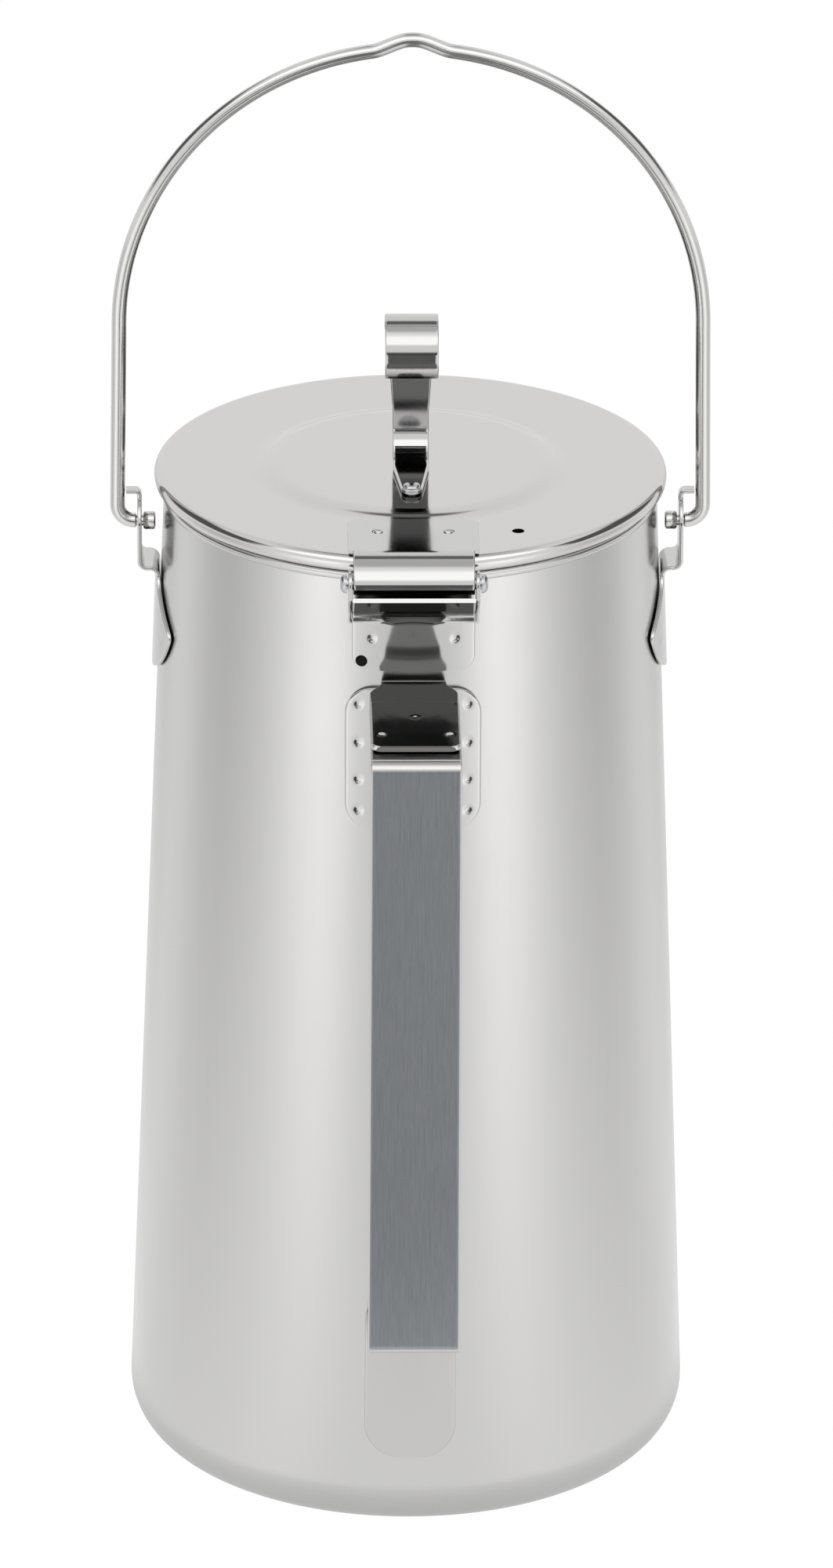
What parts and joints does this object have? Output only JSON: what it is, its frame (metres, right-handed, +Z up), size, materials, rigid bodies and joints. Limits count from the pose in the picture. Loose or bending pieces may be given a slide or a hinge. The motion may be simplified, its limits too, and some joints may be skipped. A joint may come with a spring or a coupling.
{
  "type": "tea kettle",
  "caption": "Tall slightly tapered steel kettle with a hinged flat lid, bent-strap lift, strap side handle, beak spout and a swinging wire bail.",
  "frame": {"origin": "centre of the flat base, on the surface the kettle stands on", "axes": "+Z up along the body's axis, -Y towards the strap handle and the lid hinge, +Y towards the spout, +X to the right as the handle faces the viewer"},
  "size_m": [0.1222, 0.1731, 0.3077],
  "materials": {
    "body_steel": "polished drawn steel with a faint haze",
    "lid_steel": "polished pressed steel",
    "polished_sheet": "polished bent sheet",
    "rivet_steel": "polished pin and rivet",
    "brushed_strap": "brushed along its length",
    "wire_steel": "polished wire"
  },
  "bodies": {
    "kettle_body": {"body_shell": "body_steel", "spout": "body_steel", "hinge_bracket": "polished_sheet", "hinge_pin": "rivet_steel", "handle_bracket": "polished_sheet", "grip_strap": "brushed_strap", "ear_left": "polished_sheet", "ear_right": "polished_sheet"},
    "lid": {"lid_shell": "lid_steel", "knob_strap": "polished_sheet", "knob_rivet": "rivet_steel", "lid_hinge_leaf": "polished_sheet"},
    "bail": {"bail": "wire_steel"}
  },
  "joints": [
    {"name": "lid_hinge", "type": "hinge", "parent": "kettle_body", "child": "lid", "pos_m": [0, -0.0546, 0.20975], "axis": [1, 0, 0], "range_deg": [0, 105]},
    {"name": "bail_swing", "type": "hinge", "parent": "kettle_body", "child": "bail", "pos_m": [0, 0, 0.2017], "axis": [1, 0, 0], "range_deg": [-143, 97]}
  ]
}
